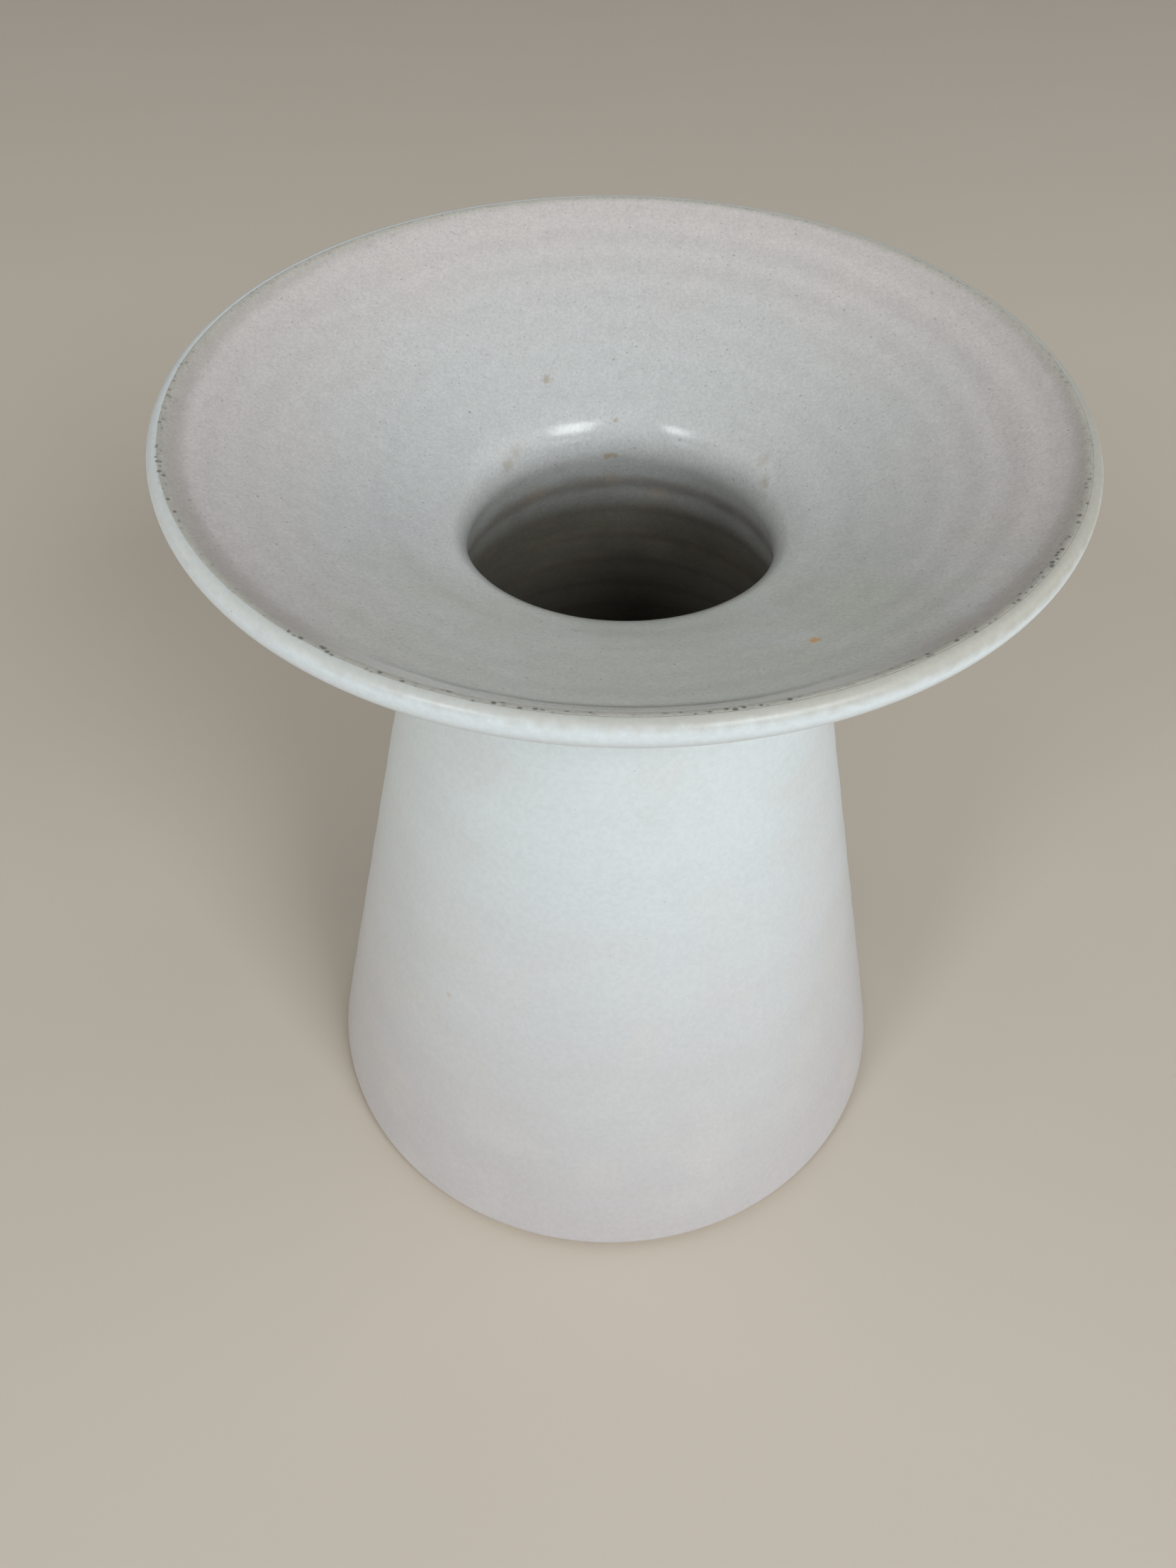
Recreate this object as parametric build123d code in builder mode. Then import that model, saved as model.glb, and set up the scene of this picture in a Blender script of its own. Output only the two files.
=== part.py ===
"""A wheel-thrown stoneware vase: a tapering body under a wide flared collar.

Two thrown clay sections, the body and the collar, are luted together at the neck. One
glaze coat lines the inside up to the crest of the lip, and another covers the outside
down to just above the bare foot. Each of the four is a solid of revolution.

Millimetres. The origin is the centre of the foot, on the table, and +Z is up. Every
section is drawn as radius along X and height along Y, then revolved about the Z axis.
"""

from build123d import *

import os
from math import cos, radians, tan

# The outline, measured on the glazed surface
RIM_RADIUS = 60.0
RIM_CORNER_HEIGHT = 140.3  # where the lip's inner bevel would meet its outer edge
LIP_BEVEL_WIDTH = 4.7
LIP_BEVEL_ANGLE = 37.0
LIP_THICKNESS_AT_RIM = 4.9
DISH_ANGLE = 25.5  # the collar's upper face, above the horizontal
UNDERSIDE_ANGLE = 28.4  # the collar's lower face, so the collar thins towards its rim
FOOT_RADIUS = 52.5  # where the wall's straight line reaches the table
WALL_LEAN = 12.1  # inwards from the vertical
WALL_THICKNESS = 6.3
FLOOR_HEIGHT = 8.0  # the inside floor, above the table
FOOT_RING_INNER_RADIUS = 42.0
FOOT_RECESS = 2.0

# Rounded corners of the outline
RECESS_FILLET = 1.0
RING_INNER_FILLET = 0.4
RING_OUTER_FILLET = 1.8
NECK_FILLET = 9.0
LIP_UNDER_FILLET = 2.6
CREST_FILLET = 1.5
BEVEL_FILLET = 6.0
THROAT_FILLET = 7.2
FLOOR_FILLET = 8.0

# Clay and glaze
GLAZE = 0.5
BARE_FOOT_HEIGHT = 1.2  # the outside glaze is wiped off below this
SEAM_INNER_HEIGHT = 107.5  # the neck joint is a bevel, lower on the inside
SEAM_OUTER_HEIGHT = 110.0

# Derived from the above
RING_CHAMFER = FOOT_RECESS / 2
LEAN = tan(radians(WALL_LEAN))
WALL_ACROSS = WALL_THICKNESS / cos(radians(WALL_LEAN))
DISH_RISE = tan(radians(DISH_ANGLE))
UNDERSIDE_RISE = tan(radians(UNDERSIDE_ANGLE))
BEVEL_RADIUS = RIM_RADIUS - LIP_BEVEL_WIDTH
BEVEL_HEIGHT = RIM_CORNER_HEIGHT - LIP_BEVEL_WIDTH * tan(radians(LIP_BEVEL_ANGLE))
UNDER_HEIGHT = RIM_CORNER_HEIGHT - LIP_THICKNESS_AT_RIM
CREST_RADIUS = RIM_RADIUS - CREST_FILLET
CLEAR = 20.0  # how far a cutting region reaches past what it cuts


def wall_radius(height, depth=0.0):
    """Radius of the body's wall at a height, depth millimetres in from its outer face."""
    return FOOT_RADIUS - depth - LEAN * height


def wall_meets(radius, height, rise, depth):
    """Where a line through a point of the collar, of that rise, meets the wall's line."""
    at_radius = wall_radius(height - rise * radius, depth) / (1 + LEAN * rise)
    return at_radius, height + rise * (at_radius - radius)


NECK = wall_meets(RIM_RADIUS, UNDER_HEIGHT, UNDERSIDE_RISE, 0.0)
THROAT = wall_meets(BEVEL_RADIUS, BEVEL_HEIGHT, DISH_RISE, WALL_ACROSS)

CORNERS = [
    ((FOOT_RING_INNER_RADIUS, FOOT_RECESS), RECESS_FILLET),
    ((FOOT_RING_INNER_RADIUS + RING_CHAMFER, 0), RING_INNER_FILLET),
    ((FOOT_RADIUS, 0), RING_OUTER_FILLET),
    (NECK, NECK_FILLET),
    ((RIM_RADIUS, UNDER_HEIGHT), LIP_UNDER_FILLET),
    ((RIM_RADIUS, RIM_CORNER_HEIGHT), CREST_FILLET),
    ((BEVEL_RADIUS, BEVEL_HEIGHT), BEVEL_FILLET),
    (THROAT, THROAT_FILLET),
    ((wall_radius(FLOOR_HEIGHT, WALL_ACROSS), FLOOR_HEIGHT), FLOOR_FILLET),
]

# The glazed pot, and the clay inside it: the same outline brought in by the glaze
with BuildSketch() as glazed_section:
    with BuildLine():
        FilletPolyline(
            (0, FOOT_RECESS),
            *[corner for corner, _ in CORNERS],
            (0, FLOOR_HEIGHT),
            radius=[fillet_radius for _, fillet_radius in CORNERS],
        )
        Line((0, FLOOR_HEIGHT), (0, FOOT_RECESS))
    make_face()

with BuildSketch() as bare_foot:
    with BuildLine():
        Polyline(
            (0, 0),
            (FOOT_RADIUS, 0),
            (FOOT_RADIUS, BARE_FOOT_HEIGHT),
            (FOOT_RING_INNER_RADIUS, FLOOR_HEIGHT / 2),
            (0, FLOOR_HEIGHT / 2),
            close=True,
        )
    make_face()
    add(glazed_section.sketch, mode=Mode.INTERSECT)

with BuildSketch() as clay_section:
    add(glazed_section.sketch)
    mirror(about=Plane.YZ)
    offset(amount=-GLAZE)
    split(bisect_by=Plane.YZ)
    add(bare_foot.sketch)

# What lies above the neck joint, and what lies inside the middle of the wall
with BuildSketch() as above_seam:
    with BuildLine():
        Polyline(
            (0, SEAM_INNER_HEIGHT),
            (wall_radius(SEAM_INNER_HEIGHT, WALL_ACROSS), SEAM_INNER_HEIGHT),
            (wall_radius(SEAM_OUTER_HEIGHT), SEAM_OUTER_HEIGHT),
            (RIM_RADIUS + CLEAR, SEAM_OUTER_HEIGHT),
            (RIM_RADIUS + CLEAR, RIM_CORNER_HEIGHT + CLEAR),
            (0, RIM_CORNER_HEIGHT + CLEAR),
            close=True,
        )
    make_face()

with BuildSketch() as inner_side:
    with BuildLine():
        Polyline(
            (0, FLOOR_HEIGHT / 2),
            (wall_radius(FLOOR_HEIGHT / 2, WALL_ACROSS / 2), FLOOR_HEIGHT / 2),
            ((NECK[0] + THROAT[0]) / 2, (NECK[1] + THROAT[1]) / 2),
            (CREST_RADIUS, BEVEL_HEIGHT),
            (CREST_RADIUS, RIM_CORNER_HEIGHT + CLEAR),
            (0, RIM_CORNER_HEIGHT + CLEAR),
            close=True,
        )
    make_face()

os.makedirs("parts", exist_ok=True)

# The body: a tapering cup with a turned foot ring, open at its bevelled neck
with BuildPart() as thrown_body:
    with BuildSketch(Plane.XZ):
        add(clay_section.sketch)
        add(above_seam.sketch, mode=Mode.SUBTRACT)
    revolve(axis=Axis.Z)
thrown_body.part.label = "thrown_body"
export_step(thrown_body.part, "parts/thrown_body.step")

# The collar: the throat and the shallow dish that flares out to the lip
with BuildPart() as flared_collar:
    with BuildSketch(Plane.XZ):
        add(clay_section.sketch)
        add(above_seam.sketch, mode=Mode.INTERSECT)
    revolve(axis=Axis.Z)
flared_collar.part.label = "flared_collar"
export_step(flared_collar.part, "parts/flared_collar.step")

# The lining glaze: the inside, the throat and the dish, up to the crest of the lip
with BuildPart() as inside_glaze:
    with BuildSketch(Plane.XZ):
        add(glazed_section.sketch)
        add(clay_section.sketch, mode=Mode.SUBTRACT)
        add(inner_side.sketch, mode=Mode.INTERSECT)
    revolve(axis=Axis.Z)
inside_glaze.part.label = "inside_glaze"
export_step(inside_glaze.part, "parts/inside_glaze.step")

# The outside glaze: from the crest over the lip, under the collar and down to the foot
with BuildPart() as outside_glaze:
    with BuildSketch(Plane.XZ):
        add(glazed_section.sketch)
        add(clay_section.sketch, mode=Mode.SUBTRACT)
        add(inner_side.sketch, mode=Mode.SUBTRACT)
    revolve(axis=Axis.Z)
outside_glaze.part.label = "outside_glaze"
export_step(outside_glaze.part, "parts/outside_glaze.step")
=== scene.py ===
"""The looks of a glazed stoneware vase: two glaze coats over a thrown body and its flared collar.

Each of the four CAD nodes is replaced by a finer closed mesh on the same half-section. All four
take the same relief, from the throwing ridges to the trimming spiral, and the same wobble, so
they stay nested. Metres throughout, except that the material recipes measure in millimetres.
"""

from math import ceil, cos, pi, radians, sin, tan

import bpy
import numpy as np
from mathutils import Euler, Matrix, Vector


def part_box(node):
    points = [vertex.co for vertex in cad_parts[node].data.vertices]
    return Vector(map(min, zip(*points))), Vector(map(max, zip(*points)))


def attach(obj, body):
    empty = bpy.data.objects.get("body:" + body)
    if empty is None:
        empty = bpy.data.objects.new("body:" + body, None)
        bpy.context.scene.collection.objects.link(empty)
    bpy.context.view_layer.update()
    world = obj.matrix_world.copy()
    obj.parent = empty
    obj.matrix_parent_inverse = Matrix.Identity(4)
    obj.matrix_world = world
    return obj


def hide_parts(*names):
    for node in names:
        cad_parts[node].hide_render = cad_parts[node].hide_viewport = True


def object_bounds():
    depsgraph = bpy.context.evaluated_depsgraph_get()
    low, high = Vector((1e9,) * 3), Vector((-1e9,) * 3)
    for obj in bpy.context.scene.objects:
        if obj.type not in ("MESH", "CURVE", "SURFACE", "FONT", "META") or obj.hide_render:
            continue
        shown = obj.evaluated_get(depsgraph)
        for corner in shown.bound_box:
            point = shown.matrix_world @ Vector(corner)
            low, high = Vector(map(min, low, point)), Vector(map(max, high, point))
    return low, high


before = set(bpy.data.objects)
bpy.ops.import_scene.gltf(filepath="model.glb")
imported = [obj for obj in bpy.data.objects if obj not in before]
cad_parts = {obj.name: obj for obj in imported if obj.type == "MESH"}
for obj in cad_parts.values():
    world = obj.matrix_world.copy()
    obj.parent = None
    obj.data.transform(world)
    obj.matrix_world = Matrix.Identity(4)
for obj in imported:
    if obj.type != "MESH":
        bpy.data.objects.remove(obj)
cad_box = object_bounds()

MM = 0.001

# ------------------------------------------------------------------ driving dimensions
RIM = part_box("outside_glaze")[1].x
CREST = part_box("inside_glaze")[1].x
TOP = cad_box[1].z
FLOOR_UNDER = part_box("inside_glaze")[0].z
SEAM_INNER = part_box("flared_collar")[0].z
SEAM_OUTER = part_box("thrown_body")[1].z

# Lengths, and angles in degrees: the lean is from upright, and the others are from level
GLAZE = 0.5 * MM
AIR = 0.02 * MM  # between a glaze coat's back and the clay, so that the two never cross
GLAZE_END = 1.3 * MM  # height of the outside glaze's lower edge
GLAZE_ROLL = GLAZE / 2  # the radius that rounds that edge
BEVEL_WIDTH = 4.7 * MM
BEVEL_ANGLE = 37.0
LIP_THICKNESS = 4.9 * MM
DISH_ANGLE = 25.5
UNDERSIDE_ANGLE = 28.4
WALL_LEAN = 12.1
FOOT_RADIUS = 52.5 * MM
WALL_THICKNESS = 6.3 * MM
RING_INNER = 42.0 * MM
RECESS = 2.0 * MM

# Rounded corners of the section
RECESS_FILLET = 1.0 * MM
RING_INNER_FILLET = 0.4 * MM
RING_OUTER_FILLET = 1.8 * MM
NECK_FILLET = 9.0 * MM
LIP_UNDER_FILLET = 2.6 * MM
BEVEL_FILLET = 6.0 * MM
THROAT_FILLET = 7.2 * MM
FLOOR_FILLET = 8.0 * MM

# The bevel inside the lip is cut unevenly: its inner edge is further in at the front than behind
BEVEL_LINE = 56.2 * MM  # its mean radius
BEVEL_BACK = 2.05 * MM  # how much further out it runs behind, and further in at the front
BEVEL_RIGHT = 0.36 * MM  # how much further out it runs at the right, and further in at the left
BEVEL_OVAL = 0.35 * MM  # how much further out at both sides, and further in at the front and behind
BEVEL_DIP = 0.3 * MM  # how much further in it runs in three places, the front among them

THROAT_DRIFT = 0.16 * MM  # how far the throat is off centre, to the right
THROAT_OVAL = 0.19 * MM  # how much wider than deep the throat is, in radius

COLUMNS = 256  # of every mesh, round the axis
COARSE = 4  # hidden surfaces use every fourth row of the section
ARC_STEP = radians(4.5)  # between the rows on a rounded corner

lean = tan(radians(WALL_LEAN))
across = WALL_THICKNESS / cos(radians(WALL_LEAN))
dish_rise = tan(radians(DISH_ANGLE))
bevel_rise = tan(radians(BEVEL_ANGLE))
under_rise = tan(radians(UNDERSIDE_ANGLE))
floor_height = FLOOR_UNDER + GLAZE
crest_fillet = RIM - CREST
corner_height = TOP + crest_fillet * (tan(radians(90 + BEVEL_ANGLE) / 2) - 1)
under_height = corner_height - LIP_THICKNESS
bevel_radius = RIM - BEVEL_WIDTH
bevel_height = corner_height - BEVEL_WIDTH * bevel_rise


def wall_radius(height, depth=0.0):
    """The body wall's radius at a height, depth in from its outer face."""
    return FOOT_RADIUS - depth - lean * height


def wall_meets(radius, height, rise, depth):
    """Where a line of that rise through a point of the collar meets the wall's line."""
    at = wall_radius(height - rise * radius, depth) / (1 + lean * rise)
    return at, height + rise * (at - radius)


# ------------------------------------------------------------------ the half-section
# The glazed outline from the axis under the foot, up the outside and down the inside. Each
# corner has its fillet and the longest row step on the straight run that leads to it.
OUTLINE = [
    ((0, RECESS), 0, 0),
    ((RING_INNER, RECESS), RECESS_FILLET, 0.7 * MM),
    ((RING_INNER + RECESS / 2, 0), RING_INNER_FILLET, 0.5 * MM),
    ((FOOT_RADIUS, 0), RING_OUTER_FILLET, 1.0 * MM),
    (wall_meets(RIM, under_height, under_rise, 0), NECK_FILLET, 1.2 * MM),
    ((RIM, under_height), LIP_UNDER_FILLET, 0.9 * MM),
    ((RIM, corner_height), crest_fillet, 0.2 * MM),
    ((bevel_radius, bevel_height), BEVEL_FILLET, 0.25 * MM),
    (wall_meets(bevel_radius, bevel_height, dish_rise, across), THROAT_FILLET, 0.55 * MM),
    ((wall_radius(floor_height, across), floor_height), FLOOR_FILLET, 0.65 * MM),
    ((0, floor_height), 0, 1.5 * MM),
]


def rounded(corners):
    """Rows of (radius, height) along the corners, with each corner rounded by its fillet."""
    points = [np.array(point, float) for point, _, _ in corners]
    rows = [points[0]]
    for before, here, after, (_, fillet, step) in zip(points, points[1:], points[2:], corners[1:]):
        along = (here - before) / np.linalg.norm(here - before)
        onward = (after - here) / np.linalg.norm(after - here)
        turn = np.arctan2(along[0] * onward[1] - along[1] * onward[0], along @ onward)
        start = here - along * fillet * tan(abs(turn) / 2)
        left = np.array([-along[1], along[0]]) * np.sign(turn)
        steps = ceil(np.linalg.norm(start - rows[-1]) / step)
        rows += [rows[-1] + (start - rows[-1]) * i / steps for i in range(1, steps + 1)]
        count = ceil(abs(turn) / ARC_STEP)
        for i in range(1, count + 1):
            swept = abs(turn) * i / count
            rows.append(start + fillet * (along * np.sin(swept) + left * (1 - np.cos(swept))))
    steps = ceil(np.linalg.norm(points[-1] - rows[-1]) / corners[-1][2])
    rows += [rows[-1] + (points[-1] - rows[-1]) * i / steps for i in range(1, steps + 1)]
    return np.array(rows)


def outward(rows):
    """Unit normals of the rows, to the right of their direction, which is out of the pot."""
    along = np.gradient(rows, axis=0)
    along /= np.linalg.norm(along, axis=1)[:, None]
    return np.stack([along[:, 1], -along[:, 0]], axis=1)


def smooth(value, low, high):
    """0 at low and 1 at high, easing in and out. low may be above high."""
    share = np.clip((value - low) / (high - low), 0, 1)
    return share * share * (3 - 2 * share)


section = rounded(OUTLINE)
normals = outward(section)
crest_row = int(np.argmax(section[:, 1]))
wall_rows = np.flatnonzero(section[:crest_row, 0] > RING_INNER + RECESS)
glaze_row = int(wall_rows[section[wall_rows, 1] > GLAZE_END][0])
seam_out_row = int(np.argmin(np.abs(section[:crest_row, 1] - SEAM_OUTER)))
seam_in_row = crest_row + int(np.argmin(np.abs(section[crest_row:, 1] - SEAM_INNER)))
last_row = len(section) - 1
climb = np.cumsum(np.linalg.norm(np.diff(section, axis=0, prepend=section[:1]), axis=1))
angles = np.arange(COLUMNS) * 2 * pi / COLUMNS


def edge_depth(rows):
    """How far the outside glaze's face draws in towards its rounded lower edge."""
    short = np.maximum(GLAZE_ROLL - (climb[rows] - climb[glaze_row]), 0)
    return GLAZE_ROLL - np.sqrt(GLAZE_ROLL**2 - short**2)


# ------------------------------------------------------------------ relief and wobble
RIDGE_PITCH = 5.9 * MM  # the throwing ridges inside climb one pitch a turn
RIDGE_HEIGHT = 0.09 * MM
RIDGE_DRIFT = 19.0 * MM  # how slowly their unevenness turns with height
RIDGE_START = 0.345  # where round the turn they start, in radians
COIL_PITCH = 5.0 * MM  # the shallow trimming spiral on the collar
COIL_START = 50.3 * MM  # the radius of a groove at the right
COIL_HEIGHT = 0.015 * MM
WALL_BAND = 13.0 * MM  # the pitch of the broad bands on the wall
NARROW_BAND = 0.43 * WALL_BAND  # the pitch of the narrow ones over them
WALL_BAND_HEIGHT = 0.035 * MM
TURNING_PITCH = 1.6 * MM  # under the foot
TURNING_HEIGHT = 0.05 * MM
WARP = 0.25 * MM  # how far the rim rises and falls
OVAL = 0.12 * MM  # how far the rim is out of round
CREASE_EASE = 0.18 * MM  # rounds the crease between the dish and the bevel

# Where each of these fades, as the height or radius where it is gone and where it is full.
# UP and DOWN are heights, and OUT and IN are radii.
RIDGES_UP = (12.0 * MM, 24.0 * MM)
RIDGES_DOWN = (113.0 * MM, 108.0 * MM)
COIL_UP = (118.0 * MM, 124.0 * MM)
BEVEL_OUT = (28.0 * MM, 48.0 * MM)
BANDS_UP = (4.0 * MM, 12.0 * MM)
BANDS_DOWN = (112.0 * MM, 104.0 * MM)
TURNING_DOWN = (2.4 * MM, 1.9 * MM)
TURNING_OUT = (0.0, 4.0 * MM)
TURNING_IN = (RING_INNER, RING_INNER - 3.0 * MM)
WARP_UP = (112.0 * MM, 124.0 * MM)
WARP_OUT = (24.0 * MM, RIM)
THROAT_UP = (60.0 * MM, 110.0 * MM)
THROAT_IN = (45.0 * MM, 25.0 * MM)

# The clay at the foot's outer edge draws in from the glazed outline to behind the glaze
FOOT_DRAWN_UP = (0.2 * MM, GLAZE_END)
FOOT_EDGE = 3.0 * MM


def lip_rise(radius, lift):
    """The height of the dish's cone, raised by lift, or of the bevel's where that is higher."""
    dish = dish_rise * (radius - bevel_radius) + lift
    bevel = bevel_rise * (radius - bevel_radius)
    return (dish + bevel + np.sqrt((dish - bevel) ** 2 + CREASE_EASE**2)) / 2


def uneven_bevel(radius, angle):
    """How far the dish stands above its true cone, so that the bevel meets it on the bevel line."""
    line = BEVEL_LINE + BEVEL_BACK * np.sin(angle) + BEVEL_RIGHT * np.cos(angle)
    line = line + BEVEL_OVAL * np.cos(2 * angle) - BEVEL_DIP * np.sin(3 * angle)
    lift = (bevel_rise - dish_rise) * (line - bevel_radius)
    return (lip_rise(radius, lift) - lip_rise(radius, 0)) * smooth(radius, *BEVEL_OUT)


def relief(radius, height, angle, inside):
    """How far the glazed surface stands out of the true section, along its normal."""
    uneven = 1 + 0.3 * np.sin(angle + 1.3) + 0.2 * np.sin(2 * angle + height / RIDGE_DRIFT)
    phase = 2 * pi * height / RIDGE_PITCH + angle + RIDGE_START
    on_ridges = smooth(height, *RIDGES_UP) * smooth(height, *RIDGES_DOWN)
    ridges = RIDGE_HEIGHT * uneven * on_ridges * (np.sin(phase) + 0.12 * np.sin(2 * phase + 0.6))
    coil = -np.cos(2 * pi * (radius - COIL_START) / COIL_PITCH - angle)
    dish = smooth(height, *COIL_UP) * (COIL_HEIGHT * coil + uneven_bevel(radius, angle))
    broad_bands = np.sin(2 * pi * height / WALL_BAND + angle)
    narrow_bands = np.sin(2 * pi * height / NARROW_BAND - angle)
    on_wall = smooth(height, *BANDS_UP) * smooth(height, *BANDS_DOWN)
    turning = np.sin(2 * pi * radius / TURNING_PITCH + angle) * smooth(height, *TURNING_DOWN)
    on_recess = smooth(radius, *TURNING_IN) * smooth(radius, *TURNING_OUT)
    outside = WALL_BAND_HEIGHT * (broad_bands + 0.6 * narrow_bands) * on_wall
    outside = outside + TURNING_HEIGHT * turning * on_recess
    return np.where(inside, ridges + dish, outside)


def wobble(radius, height, angle):
    """The warp of the rim and a slight oval, which carry every layer along together."""
    share = smooth(radius, *WARP_OUT) * smooth(height, *WARP_UP)
    lift = WARP * share * (0.6 * np.cos(2 * angle + 0.9) + 0.4 * np.cos(3 * angle + 2.2))
    spread = OVAL * (height / TOP) * (radius / RIM) * np.cos(2 * angle + 2.0)
    return radius + spread, height + lift


def skin(rows, depth):
    """The vertices of those rows of the section, all round, depth below the glazed surface."""
    radius = section[rows, 0][:, None]
    height = section[rows, 1][:, None]
    inside = (np.asarray(rows) > crest_row)[:, None]
    angle = angles[None, :]
    out = relief(radius, height, angle, inside) - np.broadcast_to(depth, (len(rows),))[:, None]
    moved_radius = np.maximum(radius + normals[rows, 0][:, None] * out, 0)
    moved_height = height + normals[rows, 1][:, None] * out
    moved_radius, moved_height = wobble(moved_radius, moved_height, angle)
    at_throat = inside * smooth(radius, *THROAT_IN) * smooth(height, *THROAT_UP)
    x = moved_radius * np.cos(angle) + (THROAT_DRIFT + THROAT_OVAL * np.cos(angle)) * at_throat
    return np.stack([x, moved_radius * np.sin(angle), moved_height], axis=2)


def coarse(first, last):
    """The rows from first to last that hidden surfaces use, both ends among them."""
    between = [row for row in range(first + 1, last) if (row - crest_row) % COARSE == 0]
    return [first, *between, last]


def turned(name, surface, open_at_axis, finish):
    """A closed mesh of rows of vertices. Its end rows meet, or each closes on the axis."""
    count = len(surface)
    vertices = surface.reshape(-1, 3)
    strips = range(count - 1) if open_at_axis else range(count)
    faces = []
    for row in strips:
        here = row * COLUMNS
        there = (row + 1) % count * COLUMNS
        for column in range(COLUMNS):
            onward = (column + 1) % COLUMNS
            faces.append((here + column, here + onward, there + onward, there + column))
    if open_at_axis:
        poles = surface[[0, -1]].mean(axis=1)
        poles[:, :2] = 0
        first, last = len(vertices), len(vertices) + 1
        vertices = np.vstack([vertices, poles])
        end = (count - 1) * COLUMNS
        for column in range(COLUMNS):
            onward = (column + 1) % COLUMNS
            faces.append((first, onward, column))
            faces.append((last, end + column, end + onward))
    mesh = bpy.data.meshes.new(name)
    mesh.from_pydata(vertices.tolist(), [], faces)
    mesh.materials.append(finish)
    mesh.shade_smooth()
    piece = bpy.data.objects.new(name, mesh)
    bpy.context.collection.objects.link(piece)
    return piece


# ------------------------------------------------------------------ the shader recipes
class Recipe:
    """A Principled material built with short calls. It measures in millimetres."""

    def __init__(self, name, **finish):
        self.material = bpy.data.materials.new(name)
        self.material.use_nodes = True
        self.tree = self.material.node_tree
        self.shader = self.tree.nodes["Principled BSDF"]
        for socket, value in finish.items():
            self.shader.inputs[socket.replace("_", " ")].default_value = value
        here = self.add("TexCoord").outputs["Object"]
        self.place = self.vector("SCALE", here, scale=1 / MM)
        self.x, self.y, self.height = self.add("SeparateXYZ", self.place).outputs
        y_squared = self.math("MULTIPLY", self.y, self.y)
        self.radius = self.math("SQRT", self.math("MULTIPLY_ADD", self.x, self.x, y_squared))
        self.angle = self.math("ARCTAN2", self.y, self.x)

    def add(self, kind, *inputs, **settings):
        """A node of that kind, with its first inputs linked to sockets or set to values."""
        node = self.tree.nodes.new("ShaderNode" + kind)
        for name, value in settings.items():
            setattr(node, name, value)
        for socket, value in zip(node.inputs, inputs):
            self.feed(socket, value)
        return node

    def feed(self, socket, value):
        """Links a socket to another node's output, or sets it to a value."""
        if isinstance(value, bpy.types.NodeSocket):
            self.tree.links.new(value, socket)
        elif value is not None:
            socket.default_value = value

    def math(self, operation, *inputs):
        """The result of one Math node."""
        return self.add("Math", *inputs, operation=operation).outputs[0]

    def times(self, *factors):
        """The product of all the factors."""
        product = factors[0]
        for factor in factors[1:]:
            product = self.math("MULTIPLY", product, factor)
        return product

    def vector(self, operation, *inputs, scale=None):
        """The result of one Vector Math node: a number for DISTANCE, and otherwise a vector."""
        node = self.add("VectorMath", *inputs, operation=operation)
        self.feed(node.inputs[3], scale)
        return node.outputs[1] if operation == "DISTANCE" else node.outputs[0]

    def ramp(self, value, low, high, to_low=0.0, to_high=1.0):
        """value eased from to_low at low to to_high at high. low may be above high."""
        inputs = (value, low, high, to_low, to_high)
        return self.add("MapRange", *inputs, interpolation_type="SMOOTHSTEP").outputs[0]

    def band(self, value, low, high, edge):
        """1 between low and high, easing to 0 within edge outside them."""
        rise = self.ramp(value, low - edge, low)
        return self.math("MULTIPLY", rise, self.ramp(value, high + edge, high))

    def around(self, mean, *waves):
        """mean plus waves round the axis, each given as its height, SINE or COSINE, and turns."""
        total = mean
        for high, operation, turns in waves:
            circular = self.math(operation, self.math("MULTIPLY", self.angle, turns))
            total = self.math("MULTIPLY_ADD", circular, high, total)
        return total

    def noise(self, size, detail=2.0, roughness=0.5, shift=0.0):
        """Soft noise from 0 to 1, its blotches about size across. shift picks another pattern."""
        moved = self.vector("ADD", self.place, (shift, 2.7 * shift, -1.3 * shift))
        node = self.add("TexNoise", moved)
        node.inputs["Scale"].default_value = 1 / size
        node.inputs["Detail"].default_value = detail
        node.inputs["Roughness"].default_value = roughness
        return node.outputs[0]

    def waver(self, value, size, reach, shift):
        """value moved up or down by as much as half of reach, by noise of that size."""
        centred = self.math("SUBTRACT", self.noise(size, detail=3.0, shift=shift), 0.5)
        return self.math("MULTIPLY_ADD", centred, reach, value)

    def specks(self, spacing, size, share, shift=0.0):
        """Round specks about size across, spacing apart, in a share of their places."""
        moved = self.vector("ADD", self.place, (shift, -shift, 1.7 * shift))
        cells = self.add("TexVoronoi", moved)
        cells.inputs["Scale"].default_value = 1 / spacing
        chance = self.add("SeparateColor", cells.outputs["Color"]).outputs[0]
        reach = self.math("MULTIPLY", cells.outputs["Distance"], spacing)
        round_mask = self.ramp(reach, 0.5 * size, 0.2 * size)
        return self.math("MULTIPLY", round_mask, self.ramp(chance, share, share - 0.05))

    def tint(self, share, below, above):
        """The colour below where share is 0 and above where it is 1."""
        node = self.add("Mix", data_type="RGBA")
        for number, value in ((0, share), (6, below), (7, above)):
            self.feed(node.inputs[number], (*value, 1.0) if isinstance(value, tuple) else value)
        return node.outputs[2]

    def shade(self, colour, share):
        """The colour made darker or lighter by that share."""
        return self.vector("SCALE", colour, scale=share)

    def bump(self, height, relief):
        """A bump of that height, in metres, over relief from 0 to 1."""
        node = self.add("Bump")
        node.inputs["Distance"].default_value = height
        self.feed(node.inputs["Height"], relief)
        self.feed(self.shader.inputs["Normal"], node.outputs[0])

    def peel(self, shift, height, roughest, smoothest):
        """A fine orange-peel bump, and a gloss that varies in patches."""
        self.bump(height, self.noise(0.45, detail=2.0, roughness=0.6, shift=shift))
        patches = self.noise(6.0, detail=4.0, shift=shift + 13)
        gloss = self.ramp(patches, 0.3, 0.7, roughest, smoothest)
        self.feed(self.shader.inputs["Roughness"], gloss)

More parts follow.
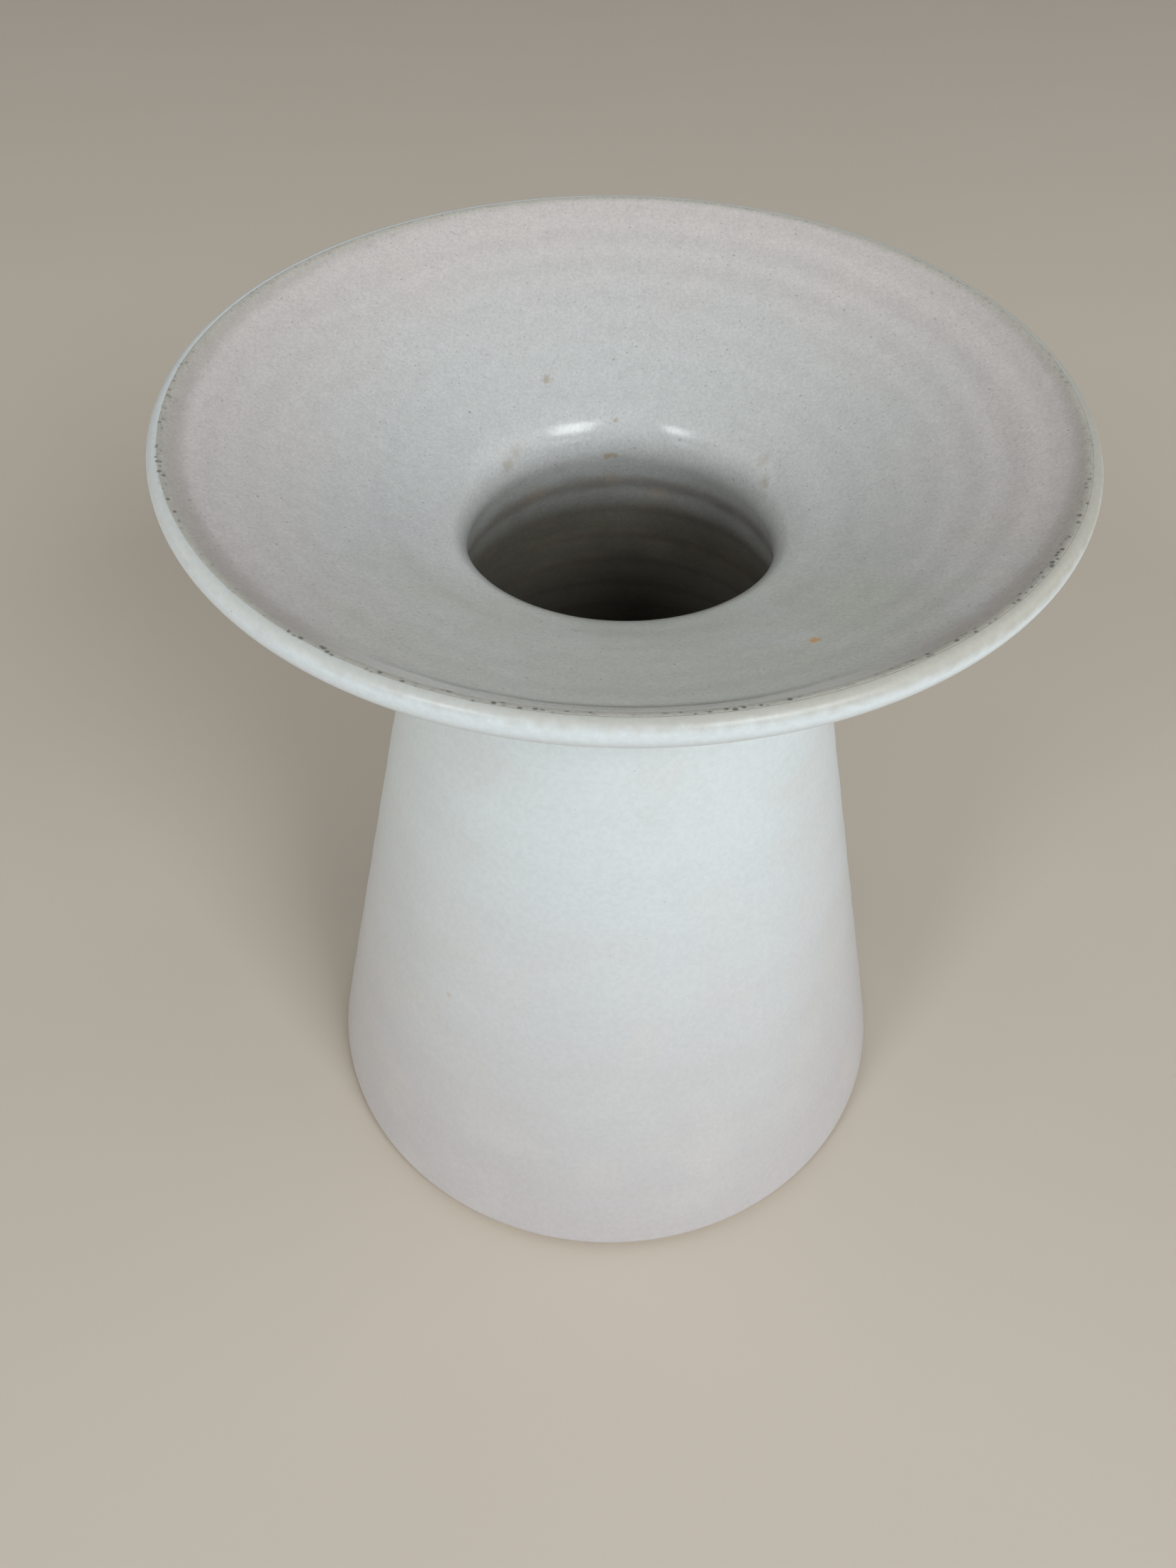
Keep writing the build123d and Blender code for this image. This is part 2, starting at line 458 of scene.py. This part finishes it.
    def painted(self, colour):
        """The finished material, in that colour."""
        self.feed(self.shader.inputs["Base Color"], colour)
        return self.material


# ------------------------------------------------------------------ the materials
LINING = (0.568, 0.572, 0.563)
LINING_ROSY = (0.604, 0.559, 0.539)
# Painted shade: the lining's front part, which faces away from the lamps, darker and greener
LINING_FRONT_SHADE = (0.503, 0.510, 0.458)
# The neck's brown glaze, darkened as painted shade deep in the neck
THROAT_BROWN_AND_SHADE = (0.122, 0.114, 0.090)
# Painted shade under the throwing ridges in the neck
RIDGE_SHADE_BROWN = (0.200, 0.165, 0.135)
# Painted light: the bevel paler at the front, where it faces away from the lamps
BEVEL_FRONT_LIT = (0.850, 0.840, 0.795)
BEVEL_GREY = (0.480, 0.437, 0.405)
# Painted shade in the crease between the dish and the bevel
CREASE_SHADE = (0.385, 0.375, 0.350)
SPECK_GREY = (0.170, 0.175, 0.170)
CREST_DARK = (0.130, 0.124, 0.112)
STAIN_TAN = (0.400, 0.310, 0.215)
STAIN_ORANGE = (0.600, 0.350, 0.130)
# The outside glaze darker and rosier at the foot, lighter and bluer at the top
OUTSIDE_FOOT = (0.594, 0.561, 0.572)
OUTSIDE_TOP = (0.745, 0.806, 0.830)
OUTSIDE_WARM = (0.716, 0.690, 0.670)
LIP_BEIGE = (0.495, 0.475, 0.415)
# The lip's white glaze, made brighter and bluer as a painted sheen
LIP_WHITE_AND_SHEEN = (0.795, 0.860, 0.900)
CLAY = (0.560, 0.470, 0.370)
CLAY_DARK = (0.420, 0.335, 0.250)
FLOOR_PALE = (0.610, 0.540, 0.455)
FLOOR_PALER = (0.630, 0.560, 0.475)

# Small stains in the lining: azimuth in degrees, radius, height and size in mm, and strength.
# Azimuth 0 is at the right, and -90 at the front.
STAINS = [
    (112.6, 29.9, 124.6, 1.25, 0.6),
    (95.8, 21.4, 115.6, 0.9, 0.8),
    (94.3, 21.4, 115.9, 0.6, 0.6),
    (92.6, 21.4, 115.7, 0.7, 0.8),
    (92.5, 23.1, 120.7, 0.6, 0.6),
    (134.2, 22.1, 119.6, 1.6, 0.3),
    (139.6, 21.6, 118.5, 1.7, 0.4),
    (31.5, 23.9, 121.3, 1.5, 0.3),
    (24.4, 22.7, 119.7, 1.4, 0.4),
    (93.5, 22.3, 111.0, 2.6, 0.3),
    (75.0, 22.8, 108.4, 2.4, 0.35),
    (126.0, 22.4, 110.3, 3.0, 0.25),
    (-99.5, 30.1, 124.7, 1.0, 0.3),
]

# An orange spot in the lining, and a fainter one outside, in the same form
LINING_SPOT = (-59.2, 43.7, 131.2, 1.2, 1.0)
OUTSIDE_SPOT = (-127.2, 41.7, 50.3, 0.8, 0.35)

# Specks: their spacing and size in mm, the share of places that have one, and their strength
LINING_SPECKS = [(0.9, 0.34, 0.4, 0.4), (1.7, 0.42, 0.28, 0.5), (3.2, 0.5, 0.2, 0.6)]
OUTSIDE_SPECKS = (2.6, 0.36, 0.2, 0.3)
CLAY_SPECKS = (1.3, 0.4, 0.35, 0.6)

# Where each of these grows from its weakest to its strongest, as two heights or two radii in mm
BROWN_AND_SHADE_DOWN = (120.0, 101.0)
RIDGE_SHADE_DOWN = (117.0, 111.0)
ROSY_OUT = (31.0, 56.0)
GROOVES_OUT = (37.0, 51.0)
LIP_BEIGE_OUT = (57.0, 58.1)
LIP_BEIGE_UP = (137.0, 138.6)
LIP_WHITE_AND_SHEEN_UP = (132.0, 135.0)
OUTSIDE_UP = (-15.0, 115.0)
CREST_LINE_UP = (136.2, 137.2)
DULLER_OUT = (54.0, 57.5)  # the lining is less glossy on the lip


def polar(azimuth, radius, height):
    """A point in millimetres from an azimuth in degrees, a radius and a height."""
    turn = radians(azimuth)
    return radius * cos(turn), radius * sin(turn), height


def stain(recipe, under, spot, colour):
    """A soft-edged blotch of that colour over the colour under it."""
    azimuth, radius, height, size, strength = spot
    away = recipe.vector("DISTANCE", recipe.place, polar(azimuth, radius, height))
    ragged = recipe.waver(away, 0.45 * size, 1.2 * size, radius)
    return recipe.tint(recipe.ramp(ragged, 0.9 * size, 0.2 * size, 0.0, strength), under, colour)


def speckle(recipe, under, kind, colour, shift=0.0):
    """Round specks of that colour over the colour under them."""
    spacing, size, share, strength = kind
    mask = recipe.specks(spacing, size, share, shift=shift)
    return recipe.tint(recipe.math("MULTIPLY", mask, strength), under, colour)


def crest_line(recipe):
    """A dotted dark line along the crest, where the glazes break over the edge."""
    ring = recipe.band(recipe.waver(recipe.radius, 3.0, 0.9, 21.0), 57.9, 58.3, 0.35)
    dots = recipe.ramp(recipe.specks(0.8, 0.85, 0.7, shift=33.0), 0.0, 1.0, 0.16, 0.95)
    stretches = recipe.ramp(recipe.noise(12.0, shift=40.0), 0.36, 0.56, 0.2, 1.0)
    mostly_front = recipe.ramp(recipe.around(0.0, (-1.0, "SINE", 1)), -0.6, 0.7, 0.25, 0.95)
    on_top = recipe.ramp(recipe.height, *CREST_LINE_UP)
    return recipe.times(ring, dots, stretches, mostly_front, on_top)


def grain(recipe, colour, size, depth):
    """Fine mottling of the colour, lighter and darker by up to depth."""
    flecks = recipe.noise(size, detail=3.0, roughness=0.75)
    return recipe.shade(colour, recipe.ramp(flecks, 0.3, 0.7, 1 - depth, 1 + depth))


def neck_brown_and_shade(recipe, colour):
    """The lining browner and darker down the neck, partly its glaze and partly painted shade, and
    darker again in painted shade under the throwing ridges.
    """
    # Partly painted shade: browner and much darker deep down the neck
    brown_and_shade = recipe.ramp(recipe.waver(recipe.height, 9.0, 3.0, 55.0), *BROWN_AND_SHADE_DOWN)
    colour = recipe.tint(brown_and_shade, colour, THROAT_BROWN_AND_SHADE)
    # Painted shade: brown bands under the throwing ridges
    turn = recipe.math("ADD", recipe.angle, RIDGE_START)
    phase = recipe.math("MULTIPLY_ADD", recipe.height, 2 * pi * MM / RIDGE_PITCH, turn)
    under_ridge = recipe.math("COSINE", phase)
    patchy = recipe.ramp(recipe.waver(under_ridge, 7.0, 4.0, 8.0), -0.9, 1.6)
    ridge_shade = recipe.times(patchy, recipe.ramp(recipe.height, *RIDGE_SHADE_DOWN), 0.55)
    return recipe.tint(ridge_shade, colour, RIDGE_SHADE_BROWN)


def trimming_tone(recipe, colour):
    """The lining darker in the grooves of the trimming spiral, and smudged near the neck."""
    out = recipe.math("SUBTRACT", recipe.radius, COIL_START / MM)
    coil = recipe.math("MULTIPLY", out, 2 * pi * MM / COIL_PITCH)
    groove = recipe.math("COSINE", recipe.math("SUBTRACT", coil, recipe.angle))
    on_right = recipe.around(0.65, (0.35, "COSINE", 1))
    strength = recipe.ramp(recipe.radius, *GROOVES_OUT, 0.012, 0.042)
    depth = recipe.times(groove, on_right, strength)
    darker = recipe.around(0.02, (-0.03, "SINE", 1))
    smudge = recipe.times(recipe.band(recipe.radius, 31.6, 32.6, 1.4), darker)
    ungrooved = recipe.math("SUBTRACT", 1.0, depth)
    return recipe.shade(colour, recipe.math("SUBTRACT", ungrooved, smudge))


def bevel_colour(recipe, colour):
    """The bevel inside the lip, painted paler at the front where it faces away from the lamps, with
    painted shade in a soft dark crease at its inner edge.
    """
    line = recipe.around(
        BEVEL_LINE / MM,
        (BEVEL_BACK / MM, "SINE", 1),
        (BEVEL_RIGHT / MM, "COSINE", 1),
        (BEVEL_OVAL / MM, "COSINE", 2),
        (-BEVEL_DIP / MM, "SINE", 3),
    )
    past = recipe.waver(recipe.math("SUBTRACT", recipe.radius, line), 4.0, 0.9, 17.0)
    # Painted light: paler at the front, where the bevel gets little light
    at_front = recipe.ramp(recipe.around(0.0, (-1.0, "SINE", 1)), 0.78, 0.99)
    bevel = recipe.tint(at_front, BEVEL_GREY, BEVEL_FRONT_LIT)
    starts = recipe.ramp(at_front, 0.0, 1.0, -1.3, -0.1)
    colour = recipe.tint(recipe.times(recipe.ramp(past, starts, 1.1), 0.9), colour, bevel)
    # Painted shade in the crease at the bevel's inner edge, deepest at the front
    depth = recipe.ramp(at_front, 0.0, 1.0, 0.1, 0.6)
    crease = recipe.times(recipe.band(past, 0.0, 0.2, 0.8), depth)
    return recipe.tint(crease, colour, CREASE_SHADE)


def lining_glaze():
    """Pale satin glaze: rosy to the lip, darker and greener at the front in painted shade, brown in
    the neck and darkened there partly by painted shade, with a bevel painted paler at the front,
    specks and stains.
    """
    recipe = Recipe("lining_glaze", IOR=1.5)
    # Painted shade: darker and greener towards the front, where the dish faces away from the lamps
    to_front = recipe.around(0.0, (-1.0, "SINE", 1), (0.15, "COSINE", 1))
    front_shade = recipe.ramp(recipe.waver(to_front, 13.0, 1.4, 31.0), 0.3, 1.0)
    colour = recipe.tint(front_shade, LINING, LINING_FRONT_SHADE)
    outer = recipe.ramp(recipe.waver(recipe.radius, 14.0, 16.0, 3.0), *ROSY_OUT)
    but_front = recipe.ramp(to_front, 0.45, 1.0, 1.0, 0.1)
    colour = recipe.tint(recipe.times(outer, but_front), colour, LINING_ROSY)
    colour = neck_brown_and_shade(recipe, colour)
    colour = trimming_tone(recipe, colour)
    colour = bevel_colour(recipe, colour)
    beige = recipe.ramp(recipe.radius, *LIP_BEIGE_OUT, 0.0, 0.8)
    colour = recipe.tint(beige, colour, LIP_BEIGE)

    colour = grain(recipe, colour, 2.2, 0.03)
    colour = grain(recipe, colour, 0.45, 0.085)
    for kind in LINING_SPECKS:
        colour = speckle(recipe, colour, kind, SPECK_GREY, shift=kind[0])
    for spot in STAINS:
        colour = stain(recipe, colour, spot, STAIN_TAN)
    colour = stain(recipe, colour, LINING_SPOT, STAIN_ORANGE)
    colour = recipe.tint(crest_line(recipe), colour, CREST_DARK)
    roughest = recipe.ramp(recipe.radius, *DULLER_OUT, 0.24, 0.46)
    smoothest = recipe.ramp(recipe.radius, *DULLER_OUT, 0.16, 0.38)
    recipe.peel(12.0, 0.005 * MM, roughest, smoothest)
    return recipe.painted(colour)


def outer_glaze():
    """White satin glaze: rosier and darker towards the foot, whiter and bluer above, beige over the
    crest.
    """
    recipe = Recipe("outer_glaze", IOR=1.5)
    # Darker and rosier towards the foot, lighter and bluer towards the top
    up = recipe.ramp(recipe.waver(recipe.height, 20.0, 24.0, 9.0), *OUTSIDE_UP)
    colour = recipe.tint(up, OUTSIDE_FOOT, OUTSIDE_TOP)
    clouds = recipe.ramp(recipe.noise(15.0, detail=3.0, shift=61.0), 0.45, 0.72, 0.0, 0.3)
    colour = recipe.tint(clouds, colour, OUTSIDE_WARM)
    # The lip whiter: its white glaze, with a painted sheen
    colour = recipe.tint(recipe.ramp(recipe.height, *LIP_WHITE_AND_SHEEN_UP), colour, LIP_WHITE_AND_SHEEN)
    beige = recipe.ramp(recipe.waver(recipe.height, 1.6, 0.9, 29.0), *LIP_BEIGE_UP)
    mostly_right = recipe.around(0.7, (0.25, "COSINE", 1), (-0.15, "SINE", 1))
    colour = recipe.tint(recipe.times(beige, mostly_right), colour, LIP_BEIGE)
    colour = grain(recipe, colour, 0.9, 0.035)
    colour = speckle(recipe, colour, OUTSIDE_SPECKS, SPECK_GREY, shift=5.0)
    colour = stain(recipe, colour, OUTSIDE_SPOT, STAIN_ORANGE)
    colour = recipe.tint(crest_line(recipe), colour, CREST_DARK)
    recipe.peel(4.0, 0.009 * MM, 0.40, 0.31)
    return recipe.painted(colour)


def fired_clay():
    """Bare stoneware: buff, matte and gritty, with darker grains."""
    recipe = Recipe("fired_clay", Roughness=0.85)
    clouds = recipe.ramp(recipe.noise(9.0, detail=4.0), 0.35, 0.65, 0.0, 0.5)
    colour = recipe.tint(clouds, CLAY, CLAY_DARK)
    colour = speckle(recipe, colour, CLAY_SPECKS, CLAY_DARK)
    recipe.bump(0.08 * MM, recipe.noise(0.5, detail=4.0, roughness=0.7))
    return recipe.painted(colour)


def pale_floor():
    """A plain pale surface with a faint tooth."""
    recipe = Recipe("pale_floor", Roughness=0.7)
    colour = recipe.tint(recipe.noise(60.0, detail=2.0), FLOOR_PALE, FLOOR_PALER)
    return recipe.painted(colour)


# ------------------------------------------------------------------ the pieces
lining_finish = lining_glaze()
outer_finish = outer_glaze()
clay_finish = fired_clay()

# The lining: its back from the axis up to the crest, then its face down to the axis again
back_rows = coarse(crest_row, last_row - 1)[::-1]
face_rows = list(range(crest_row, last_row))
surface = np.vstack([skin(back_rows, GLAZE), skin(face_rows, 0.0)])
inside_coat = turned("inside_coat", surface, True, lining_finish)
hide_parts("inside_glaze")

# The outside glaze: its face from its rounded lower edge up to the crest, then its back down
face_rows = list(range(glaze_row, crest_row + 1))
back_rows = coarse(glaze_row, crest_row)[:0:-1]
face = skin(face_rows, edge_depth(face_rows))
surface = np.vstack([face, skin(back_rows, GLAZE - edge_depth(back_rows))])
outside_coat = turned("outside_coat", surface, False, outer_finish)
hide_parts("outside_glaze")

# The clay body: the turned foot in full detail, then the wall and floor behind the glaze
foot_rows = list(range(1, glaze_row + 2))
wall_up = coarse(glaze_row + 2, seam_out_row)
floor_down = coarse(seam_in_row, last_row - 1)
foot_height = section[foot_rows, 1]
at_edge = section[foot_rows, 0] > FOOT_RADIUS - FOOT_EDGE
foot_depth = (GLAZE + AIR) * smooth(foot_height, *FOOT_DRAWN_UP) * at_edge
surface = np.vstack([skin(foot_rows, foot_depth), skin(wall_up + floor_down, GLAZE + AIR)])
clay_body = turned("clay_body", surface, True, clay_finish)
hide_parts("thrown_body")

# The clay collar, from the joint's outer edge over the lip to its inner edge
surface = skin(coarse(seam_out_row, crest_row) + coarse(crest_row, seam_in_row)[1:], GLAZE + AIR)
clay_collar = turned("clay_collar", surface, False, clay_finish)
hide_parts("flared_collar")

for piece in (inside_coat, outside_coat, clay_body, clay_collar):
    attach(piece, "root")

# ------------------------------------------------------------------ floor, lights and camera
FLOOR_SIZE = 8.0
LIGHT_DISTANCE = 1.6  # from the middle of the vase's height
COOL = (0.925, 0.975, 1.0)
WARM = (1.0, 0.98, 0.90)
NEUTRAL = (0.99, 1.0, 0.98)
SURROUNDINGS = (0.90, 0.93, 0.96, 1.0)
SURROUNDINGS_STRENGTH = 0.15
CAMERA_BACK = 2.5373 * RIM
CAMERA_HEIGHT = 3.8424 * RIM
CAMERA_PITCH = 47.37  # degrees below the horizon
CAMERA_HEADING = -1.52  # degrees to the right of straight ahead
CAMERA_ROLL = 0.54  # degrees
CAMERA_LENS = 30.55  # focal length in millimetres

bpy.ops.mesh.primitive_plane_add(size=FLOOR_SIZE, location=(0, 0, 0))
floor = bpy.context.object
floor.name = "floor"
floor.data.materials.append(pale_floor())


def softbox(name, azimuth, elevation, width, height, power, colour):
    """A soft light aimed at the vase. Azimuth 0 is behind the camera, positive to the right."""
    turn, climb_angle = radians(azimuth), radians(elevation)
    level = cos(climb_angle)
    towards = Vector((sin(turn) * level, -cos(turn) * level, sin(climb_angle)))
    data = bpy.data.lights.new(name, "AREA")
    data.shape = "RECTANGLE"
    data.size = width
    data.size_y = height
    data.energy = power
    data.color = colour
    light = bpy.data.objects.new(name, data)
    light.location = towards * LIGHT_DISTANCE + Vector((0, 0, TOP / 2))
    light.rotation_euler = towards.to_track_quat("Z", "Y").to_euler()
    bpy.context.collection.objects.link(light)


softbox("window_right", 37, 38, 0.62, 0.55, 12.0, COOL)
softbox("window_left", -40, 38, 0.32, 0.40, 5.0, COOL)
softbox("front", 0, 18, 1.0, 1.0, 1.5, COOL)
softbox("sky", 0, 50, 1.2, 0.7, 0.8, COOL)
softbox("side_left", -90, 25, 1.6, 1.2, 5.1, WARM)
softbox("side_right", 88, 27, 1.6, 1.2, 5.4, NEUTRAL)
softbox("ceiling", 0, 89, 2.0, 2.0, 2.8, NEUTRAL)

world = bpy.data.worlds.new("studio")
world.use_nodes = True
background = world.node_tree.nodes["Background"]
background.inputs["Color"].default_value = SURROUNDINGS
background.inputs["Strength"].default_value = SURROUNDINGS_STRENGTH
bpy.context.scene.world = world
bpy.context.scene.view_settings.view_transform = "Standard"

camera_data = bpy.data.cameras.new("camera")
camera_data.lens = CAMERA_LENS
camera_data.clip_start = 0.01
camera = bpy.data.objects.new("camera", camera_data)
facing = Euler((radians(90 - CAMERA_PITCH), 0, radians(-CAMERA_HEADING))).to_matrix()
rolled = facing @ Matrix.Rotation(radians(CAMERA_ROLL), 3, "Z")
camera.matrix_world = Matrix.Translation((0, -CAMERA_BACK, CAMERA_HEIGHT)) @ rolled.to_4x4()
bpy.context.collection.objects.link(camera)
bpy.context.scene.camera = camera
